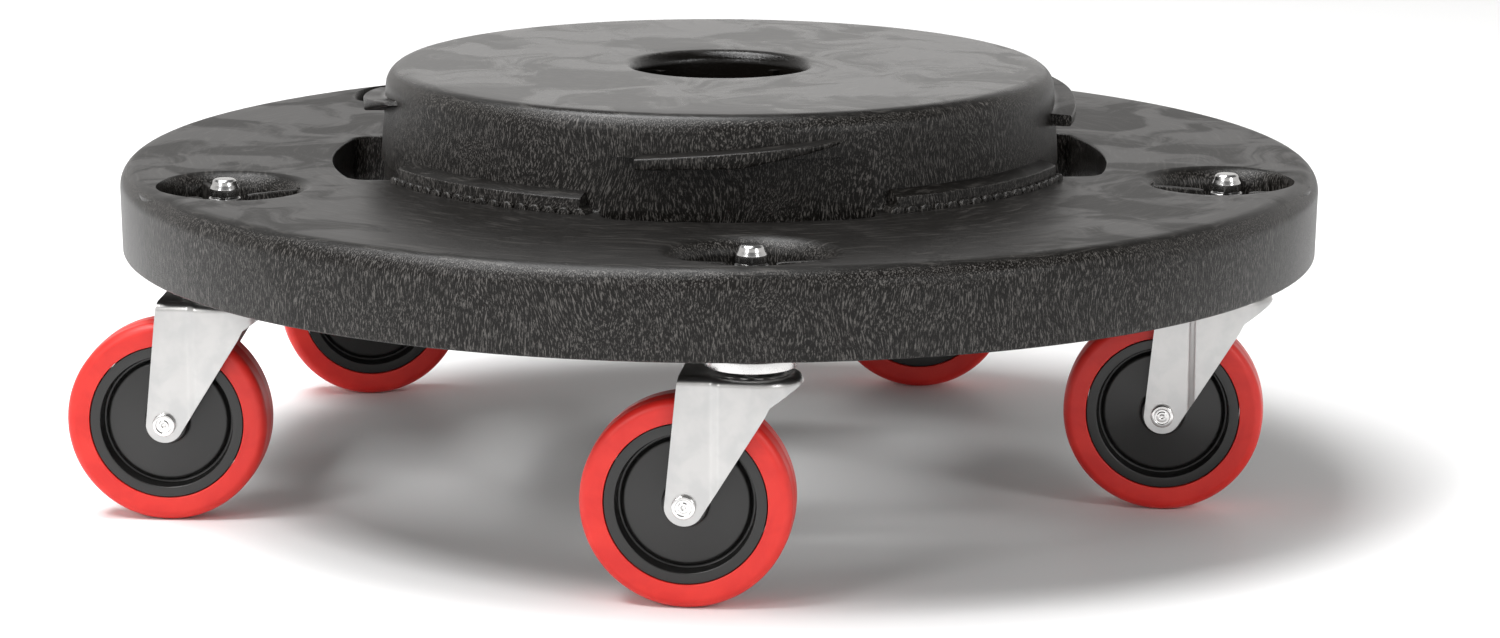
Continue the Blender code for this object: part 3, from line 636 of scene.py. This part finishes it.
def lock_rib(pocket):
    """The ramped shelf that a container's foot turns under, with one end pointed (at +X)."""
    steps = 40
    sections = []
    for i in range(steps + 1):
        share = i / steps
        angle = RIB_START + (RIB_END - RIB_START) * share
        inner = HUB_BASE_RADIUS - HUB_DRAFT - 0.0010
        if pocket:
            inner = (POCKET_DISTANCE - 0.0012) / math.cos(angle)
        late = max(0.0, share - 0.5) * 2
        outer = RIB_RADIUS + (RIB_TIP_RADIUS - RIB_RADIUS) * late ** 3
        top = RIB_TOP + RIB_TOP_RISE * share
        bottom = RIB_FOOT + RIB_FOOT_RISE * min(1.0, 2 * share) + RIB_TIP_RISE * late
        edge = min(0.0009, (top - bottom) * 0.35)
        row = rounded([(inner, bottom, 0), (outer, bottom, edge), (outer + 0.0002, top, edge),
                       (inner, top + 0.0006, 0)], 4)
        sections.append(spun(row, angle))
    return swept(sections)


def ledge():
    """The low ledge round the hub's foot between two slots (at +X)."""
    steps = 32
    inner = HUB_BASE_RADIUS - 0.0020
    foot = DECK_TOP - 0.0015
    row = rounded([(inner, foot, 0), (LEDGE_RADIUS + 0.0004, foot, 0),
                   (LEDGE_RADIUS, LEDGE_EDGE, 0.0006),
                   (HUB_BASE_RADIUS, LEDGE_BACK, 0), (inner, LEDGE_BACK, 0)], 4)
    return swept([spun(row, LEDGE_HALF_ANGLE * (2 * i / steps - 1)) for i in range(steps + 1)])


def scallops():
    """A row of half-round teeth along a ledge's foot, each lying along a radius (at +X)."""
    rows = [(HUB_BASE_RADIUS - 0.0015, SCALLOP_RADIUS)]
    for k in range(5):
        angle = math.radians(90 * k / 4)
        rows.append((LEDGE_RADIUS + 0.0014 + 0.0008 * math.sin(angle),
                     SCALLOP_RADIUS - 0.0006 * (1 - math.cos(angle))))
    foot = DECK_TOP - 0.0012
    sections = []
    for r, size in rows:
        arch = arc((0, DECK_TOP - 0.0002), size, 0, 180, 12)
        sections.append([(r, y, z) for y, z in [(size, foot)] + arch + [(-size, foot)]])
    tooth = swept(sections)
    span = LEDGE_HALF_ANGLE + math.radians(1.4)
    count = round(2 * span * LEDGE_RADIUS / SCALLOP_PITCH)
    return gathered([moved(tooth, turn(span * (2 * (i + 0.5) / count - 1)))
                     for i in range(count)])


def dish_cross():
    """Thin crossed webs between a dish's wall and its boss."""
    foot = DISH_FLOOR - 0.0008
    webs = []
    for i in range(4):
        wall = DISH_RADIUS + 0.0006 if i else DISH_RIM_RADIUS + 0.0008
        reaches = (BOSS_RADIUS - 0.0007, BOSS_RADIUS + 0.0010, DISH_RADIUS - 0.0060, wall)
        sections = []
        for r, top in zip(reaches, DISH_WEB_TOPS):
            row = rounded([(-WEB / 2, foot, 0), (WEB / 2, foot, 0), (WEB / 2 - 0.0004, top, 0.0007),
                           (-WEB / 2 + 0.0004, top, 0.0007)], 4)
            sections.append([(r, y, z) for y, z in row])
        webs.append(moved(swept(sections), turn(math.tau * i / 4)))
    return gathered(webs)


def web(start, end, foot, top):
    """A flat web along +X between two distances and two heights."""
    return block((start, -WEB / 2, foot), (end, WEB / 2, top))


def underside_webs():
    """Stiffening webs under the deck and inside the hub."""
    slots = slot_cutters()
    clear = STEM_BORE + 0.0040
    stem_space = turned([(0, BOSS_FOOT - 0.001), (clear, BOSS_FOOT - 0.001), (clear, DECK_TOP),
                         (0, DECK_TOP)], 24)
    whole = combined(web(WEB_INNER, WEB_OUTER, WEB_FOOT, MID_WALL), [stem_space], "DIFFERENCE")
    short = web(WEB_INNER, STEM_CIRCLE - CUP_RADIUS + 0.0035, WEB_FOOT, MID_WALL)
    stub = web(STEM_CIRCLE + CUP_RADIUS - 0.0035, WEB_OUTER, WEB_FOOT, DECK_TOP - WALL)
    gusset = web(STEM_CIRCLE - CUP_RADIUS + 0.0020, STEM_CIRCLE - 0.0115, WEB_FOOT,
                 CUP_FOOT + 0.0010)
    gusset_out = moved(gusset, Matrix.Translation((STEM_CIRCLE, 0, 0)) @ turn(math.pi)
                       @ Matrix.Translation((-STEM_CIRCLE, 0, 0)))
    in_hub = web(BORE_RADII[2] + 0.0024, HUB_BASE_RADIUS - HUB_DRAFT - WALL / 2, HUB_WEB_FOOT,
                 HUB_TOP - WALL / 2 - HUB_ROUND / 2)
    webs = [combined(moved(whole, turn(angle + math.pi / CASTERS)), slots, "DIFFERENCE")
            for angle in STEM_ANGLES]
    for angle in STEM_ANGLES:
        webs.append(combined(moved(short, turn(angle)), slots, "DIFFERENCE"))
        webs += [moved(part, turn(angle)) for part in (stub, gusset, gusset_out)]
    return gathered(webs + between_locks(in_hub))


def build_deck(mat):
    shell = combined(deck_shell(), at_stems(cup()) + slot_boxes(), "UNION")
    shell = combined(shell, slot_cutters() + at_stems(dish_cutter()), "DIFFERENCE")
    parts = {
        "deck_shell": shell,
        "deck_lock_ribs": gathered(at_locks(lock_rib(True), True)
                                   + at_locks(lock_rib(False), False)),
        "deck_ledges": gathered(between_locks(ledge())),
        "deck_scallops": gathered(between_locks(scallops())),
        "deck_dish_webs": gathered(at_stems(dish_cross())),
        "deck_underside_webs": underside_webs(),
    }
    for name, mesh in parts.items():
        piece(name, mesh, mat, DECK_BODY, ["deck"],
              Matrix.Translation(DECK_AXIS))


# ---------------------------------------------------------------- one caster

def stem():
    """Domed over a groove at its top, swaged out under the fork."""
    low, high = GROOVE
    return turned(rounded([
        (0, STEM_FOOT, 0), (0.0070, STEM_FOOT, 0.0008), (0.0078, STEM_SWAGE, 0.0003),
        (0.0040, STEM_SWAGE, 0), (0.0040, RACE_FOOT, 0), (0.0052, RACE_FOOT, 0.0002),
        (0.0052, low, 0.0002), (0.0042, low, 0),
        (0.0042, high, 0), (0.0055, high, 0.0005), (0.0055, high + 0.0032, 0.0006),
        (0.0048, high + 0.0046, 0.0010), (0.0044, STEM_TOP - 0.0007, 0.0008),
        (0.0036, STEM_TOP, 0.0006), (0, STEM_TOP, 0)], 6), 64, "stem")


def retaining_ring():
    """Split spring ring with eased edges."""
    low, high = GROOVE[0] + 0.0003, GROOVE[1] - 0.0003
    inner, outer = RING_RADII
    row = rounded([(inner, low, 0.0003), (outer, low, 0.0004), (outer, high, 0.0004),
                   (inner, high, 0.0003)], 3)
    steps = 60
    sections = [spun(row, RING_GAP / 2 + (math.tau - RING_GAP) * i / steps)
                for i in range(steps + 1)]
    return moved(swept(sections, "retaining_ring"), turn(math.pi / 2))


def upper_race():
    """Pressed cap with a rolled skirt over the balls."""
    inside, outside = RACE_RADII
    return turned(rounded([
        (0.0055, 0.0909, 0.0002), (0.0055, RACE_TOP, 0.0003), (0.0120, RACE_TOP, 0.0008),
        (0.0128, 0.0919, 0.0008), (outside, 0.0912, 0.0014), (outside, RACE_FOOT, 0.0004),
        (inside, RACE_FOOT, 0.0003), (inside, 0.0898, 0.0014), (0.0110, 0.0909, 0.0010)],
        6), 72, "upper_race")


def ball_ring():
    """The swivel's balls on their circle, with the thin cage between them."""
    ball = turned(arc((0, BALL_HEIGHT), BALL_RADIUS, -90, 90, 16), 24)
    balls = [moved(ball, turn(math.tau * i / BALLS) @ Matrix.Translation((BALL_CIRCLE, 0, 0)))
             for i in range(BALLS)]
    inner, outer = BALL_CIRCLE - CAGE_HALF_WIDTH, BALL_CIRCLE + CAGE_HALF_WIDTH
    low, high = BALL_HEIGHT - CAGE_HALF_SHEET, BALL_HEIGHT + CAGE_HALF_SHEET
    cage = turned(rounded([(inner, low, 0.0002), (outer, low, 0.0002), (outer, high, 0.0002),
                           (inner, high, 0.0002)], 2), 72)
    return gathered(balls + [cage], "ball_ring")


def fork_plan(inset, back):
    """The crown's outline seen from above, stepped in behind the stem and round at the nose."""
    wide, narrow = FORK_WIDE - inset, FORK_HALF - inset
    length = FORK_SHOULDER - FORK_NOSE - inset
    step_at, step_length = FORK_STEP
    side = [(back, narrow)]
    for k in range(9):
        share = k / 8
        side.append((step_at - step_length * share, narrow + (wide - narrow) * eased(share)))
    for k in range(17):
        angle = math.radians(90 * k / 16)
        side.append((FORK_SHOULDER - length * math.sin(angle), wide * math.cos(angle)))
    return side + [(x, -y) for x, y in reversed(side[:-1])]


def loaf(plan, low, high, bend):
    """An outline drawn up to a height, with its top edge rounded."""
    levels = 9
    middle = 0.0040
    widest = max(y for x, y in plan)
    nose = min(x for x, y in plan)
    sections = [[(x, y, low) for x, y in plan]]
    for k in range(levels):
        angle = math.radians(90 * k / (levels - 1))
        pull = bend * (1 - math.cos(angle))
        z = high - bend * (1 - math.sin(angle))
        shrink_x = 1 - pull / (middle - nose)
        sections.append([(middle + (x - middle) * (shrink_x if x < middle else 1),
                          y * (widest - pull) / widest, z) for x, y in plan])
    return swept(sections)


def fork_side():
    """The fork's outline seen from the side, as (along the trail, height)."""
    above = FORK_TOP + 0.0020
    outline = [(FORK_NOSE - 0.0010, above), (FORK_TAIL - 0.0010, above), (FORK_TAIL, 0.0816)]
    outline += arc((TRAIL, WHEEL_RADIUS), FORK_EYE, -4, -148, 28)
    lower = rounded([(0.01596, 0.03439, 0), (-0.0066, 0.0712, 0.0020), (-0.0082, 0.0745, 0.0020),
                     (-0.0154, 0.0794, 0.0030), (FORK_NOSE - 0.0010, 0.0820, 0)], 10)
    return outline + lower[1:]


def upright(mesh):
    """A mesh built flat in X and Y, stood up so that its Y is the height."""
    return moved(mesh, Matrix(((1, 0, 0, 0), (0, 0, -1, 0), (0, 1, 0, 0), (0, 0, 0, 1))))


def fork():
    """Pressed fork: a rounded crown whose sides step in behind the stem and run down as legs."""
    outer = loaf(fork_plan(0.0, 0.0320), 0.0250, FORK_TOP, FORK_BEND)
    inner = loaf(fork_plan(FORK_SHEET, 0.0400), 0.0200, FORK_TOP - FORK_SHEET,
                 FORK_BEND - FORK_SHEET)
    shell = combined(outer, [inner], "DIFFERENCE")
    shell = combined(shell, [upright(prism(fork_side(), -0.030, 0.030))], "INTERSECT")
    stem_hole = turned([(0, 0.070), (0.0043, 0.070), (0.0043, 0.095), (0, 0.095)], 48)
    return combined(shell, [stem_hole], "DIFFERENCE")


def laid(mesh):
    """A turned mesh with its axis laid along the axle (Y)."""
    return moved(mesh, Matrix.Rotation(-math.pi / 2, 4, "X"))


def mirrored(half):
    """A profile from its +side half, closed through the other side; fillets are kept."""
    return half + [(r, -y, *fillet) for r, y, *fillet in reversed(half)]


def axle_rivet():
    """Headed at both ends: a flat ring, a sunk ring, a raised ring and a small centre pit."""
    face, top = FORK_HALF + 0.0003, FORK_HALF + 0.0019
    head = rounded([
        (0.0029, 0, 0), (0.0029, face, 0), (0.0044, face, 0.0003), (0.0043, top - 0.0002, 0.0006),
        (0.0031, top, 0.0003), (0.0028, top - 0.0004, 0.0002), (0.0020, top - 0.0004, 0.0002),
        (0.0017, top - 0.0001, 0.0002), (0.0009, top - 0.0001, 0.0002),
        (0.0007, top - 0.0007, 0.0002), (0, top - 0.0008, 0)], 4)
    return laid(turned(mirrored(head[1:]), 48, "axle_rivet"))


def axle_sleeve():
    """Spacer tube between the fork's legs."""
    half = FORK_HALF - FORK_SHEET - 0.0003
    inner, outer = SLEEVE_RADII
    return laid(turned(rounded([(inner, -half, 0.0002), (outer, -half, 0.0003),
                                (outer, half, 0.0003), (inner, half, 0.0002)], 3), 40,
                       "axle_sleeve"))


def wheel_hub():
    """Moulded centre: a flat rim ring, a step and a groove, a sunk web and a long boss."""
    ring = WHEEL_HALF - 0.0006
    half = [(0.0045, 0.0113, 0.0003), (0.0080, 0.0113, 0.0006), (0.0082, 0.0062, 0.0014),
            (0.0226, 0.0058, 0.0022), (0.0234, 0.0040, 0.0008), (0.0246, 0.0040, 0.0008),
            (0.0251, ring, 0.0005), (0.02895, ring, 0.0003)]
    return laid(turned(rounded(mirrored(half), 6), 128, "wheel_hub"))


def wheel_tread():
    """Cast tread with rounded shoulders and a hairline mould line round its middle."""
    half = [(0.02925, WHEEL_HALF - 0.0003, 0.0003), (WHEEL_RADIUS - 0.0002, WHEEL_HALF, 0.0034),
            (WHEEL_RADIUS - 0.00012, 0.0006, 0), (WHEEL_RADIUS, 0.0002, 0)]
    return laid(turned(rounded(mirrored(half), 10), 160, "wheel_tread"))


def build_casters(mats):
    """All casters share their meshes; each has its own fork and wheel bodies to ride on."""
    fixed = {"stem": (stem(), "zinc_stem"), "retaining_ring": (retaining_ring(), "spring_steel"),
             "upper_race": (upper_race(), "zinc_race")}
    swivelling = {"fork": (fork(), "zinc_fork"), "ball_ring": (ball_ring(), "ball_steel")}
    on_axle = {"axle_rivet": (axle_rivet(), "rivet_steel"),
               "axle_sleeve": (axle_sleeve(), "sleeve_steel")}
    rolling = {"wheel_hub": (wheel_hub(), "black_nylon"),
               "wheel_tread": (wheel_tread(), "red_tread")}
    for n in range(1, CASTERS + 1):
        pivot = Vector(JOINTS[f"caster_{n}_swivel"]["pos_m"])
        axle = Vector(JOINTS[f"caster_{n}_spin"]["pos_m"])
        way = turn(math.atan2(axle.y - pivot.y, axle.x - pivot.x))
        at_stem = Matrix.Translation((pivot.x, pivot.y, 0)) @ way
        at_axle = Matrix.Translation(axle) @ way
        fork_body, wheel_body = f"caster_{n}_fork_body", f"caster_{n}_wheel"
        groups = ((fixed, DECK_BODY, at_stem), (swivelling, fork_body, at_stem),
                  (on_axle, fork_body, at_axle), (rolling, wheel_body, at_axle))
        for parts, body, matrix in groups:
            for name, (mesh, slot) in parts.items():
                node = f"caster_{n}_{name}"
                piece(node + "_skin", mesh, mats[slot], body, [node], matrix)


# ---------------------------------------------------------------- studio

AIM = Vector((0, 0, 0.1))
SOFTBOXES = (
    # name, place, size, watts
    ("top", (-0.60, 0.10, 2.30), (1.7, 1.3), 74),
    ("left_high", (-1.00, -0.75, 1.80), (0.7, 0.5), 24),
    ("left_low", (-1.40, -1.60, 1.07), (0.6, 0.5), 11),
    ("right_low", (1.40, -1.60, 1.07), (0.6, 0.5), 10),
)
HORIZON = (1.0, 0.985, 0.97, 1.0)
LOW_SKY = (0.98, 0.965, 0.95, 1.0)
CEILING = grey(0.16)
WORLD_STRENGTH = 0.95
CAMERA_LENS, CAMERA_SENSOR = 115.47, 36.0
CAMERA_DISTANCE, CAMERA_HEIGHT = 1.84623, 0.44251        # from the deck's axis and the floor
CAMERA_SWING, CAMERA_PITCH, CAMERA_PAN, CAMERA_ROLL = 0.05654, 0.20314, 0.00658, 0.00594


def build_floor():
    """A plain pale floor, level and wide."""
    n = Nodes("pale_floor")
    haze = n.noise(n.coords.outputs["Object"], 3.0, 2.0, 0.5)
    mat = n.out(Base_Color=n.colour(haze, grey(0.86), grey(0.88)), Roughness=0.55)
    sheet = prism(((-9, -9), (9, -9), (9, 9), (-9, 9)), -0.02, 0.0, "floor")
    floor = bpy.data.objects.new("floor", sheet)
    floor.data.materials.append(mat)
    bpy.context.collection.objects.link(floor)


def softbox(name, place, size, power):
    """A rectangular light aimed at the middle of the dolly."""
    data = bpy.data.lights.new(name, "AREA")
    data.shape = "RECTANGLE"
    data.size, data.size_y = size
    data.energy = power
    light = bpy.data.objects.new(name, data)
    light.location = place
    light.rotation_mode = "QUATERNION"
    light.rotation_quaternion = (AIM - Vector(place)).to_track_quat("-Z", "Y")
    bpy.context.collection.objects.link(light)


def build_lights():
    """A white surround near the horizon under a dim ceiling, and softboxes above and beside."""
    world = bpy.data.worlds.new("studio")
    world.use_nodes = True
    tree = world.node_tree
    coords = tree.nodes.new("ShaderNodeTexCoord")
    split = tree.nodes.new("ShaderNodeSeparateXYZ")
    ramp = tree.nodes.new("ShaderNodeValToRGB")
    tree.links.new(coords.outputs["Generated"], split.inputs[0])
    tree.links.new(split.outputs["Z"], ramp.inputs[0])
    tree.links.new(ramp.outputs[0], tree.nodes["Background"].inputs["Color"])
    stops = ramp.color_ramp.elements
    stops[0].position = 0.0
    stops[0].color = HORIZON
    stops[1].position = 0.62
    stops[1].color = CEILING
    stops.new(0.40).color = LOW_SKY
    tree.nodes["Background"].inputs["Strength"].default_value = WORLD_STRENGTH
    bpy.context.scene.world = world
    for name, place, size, power in SOFTBOXES:
        softbox(name, place, size, power)


def build_camera():
    """The photograph's viewpoint: a long lens, a little above the deck."""
    pitch, pan, roll = CAMERA_PITCH, CAMERA_PAN, CAMERA_ROLL
    forward = Vector((math.sin(pan) * math.cos(pitch), math.cos(pan) * math.cos(pitch),
                      -math.sin(pitch)))
    right = forward.cross(Vector((0, 0, 1))).normalized()
    up = right.cross(forward)
    tilted_right = right * math.cos(roll) + up * math.sin(roll)
    tilted_up = up * math.cos(roll) - right * math.sin(roll)
    facing = Matrix((tilted_right, tilted_up, -forward)).transposed().to_4x4()
    data = bpy.data.cameras.new("camera")
    data.lens, data.sensor_width = CAMERA_LENS, CAMERA_SENSOR
    data.clip_start, data.clip_end = 0.1, 40.0
    camera = bpy.data.objects.new("camera", data)
    camera.matrix_world = (Matrix.Translation(DECK_AXIS) @ turn(-CAMERA_SWING)
                           @ Matrix.Translation((0, -CAMERA_DISTANCE, CAMERA_HEIGHT)) @ facing)
    bpy.context.collection.objects.link(camera)
    bpy.context.scene.camera = camera


# ---------------------------------------------------------------- the whole

def main():
    mats = {
        "zinc_stem": zinc("zinc_stem", 0.50, 0.22),
        "spring_steel": zinc("spring_steel", 0.50, 0.30),
        "zinc_race": zinc("zinc_race", 0.60, 0.26),
        "ball_steel": zinc("ball_steel", 0.60, 0.14, 0.04),
        "zinc_fork": zinc("zinc_fork", 0.46, 0.30),
        "rivet_steel": zinc("rivet_steel", 0.70, 0.20, 0.06),
        "sleeve_steel": zinc("sleeve_steel", 0.50, 0.30),
        "black_nylon": black_nylon(),
        "red_tread": red_tread(),
    }
    build_deck(foam_plastic())
    build_casters(mats)
    build_floor()
    build_lights()
    build_camera()
    bpy.context.scene.view_settings.view_transform = "Standard"


main()
